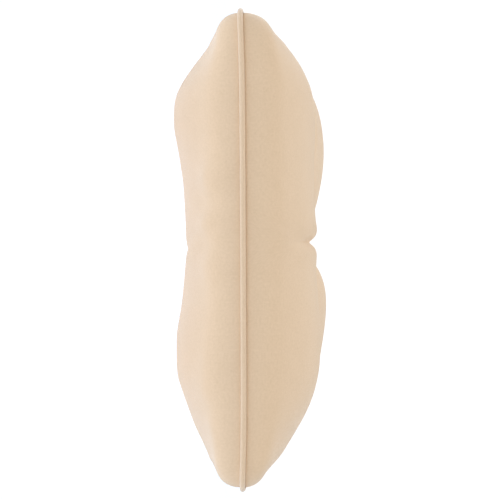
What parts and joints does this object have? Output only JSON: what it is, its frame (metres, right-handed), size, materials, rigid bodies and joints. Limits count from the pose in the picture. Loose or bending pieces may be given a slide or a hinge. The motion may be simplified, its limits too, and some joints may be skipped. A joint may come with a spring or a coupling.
{
  "type": "back cushion",
  "caption": "Filled back cushion in plain cloth, with a crowned front and back pinched in by tufts, drawn-in sides and a piped seam all round, lying on its back face.",
  "frame": {"origin": "on the surface that the cushion lies on, under the middle of its box", "axes": "+X along the width, +Y towards the top edge, +Z out of the front face, which looks up"},
  "size_m": [0.62, 0.44, 0.1426],
  "materials": {
    "cover_cloth": "matte plain-weave cloth, beige",
    "piping_cloth": "matte bias-cut plain-weave cloth over a cord, beige"
  },
  "bodies": {
    "root": {"cushion": "cover_cloth", "piping": "piping_cloth"}
  },
  "joints": []
}
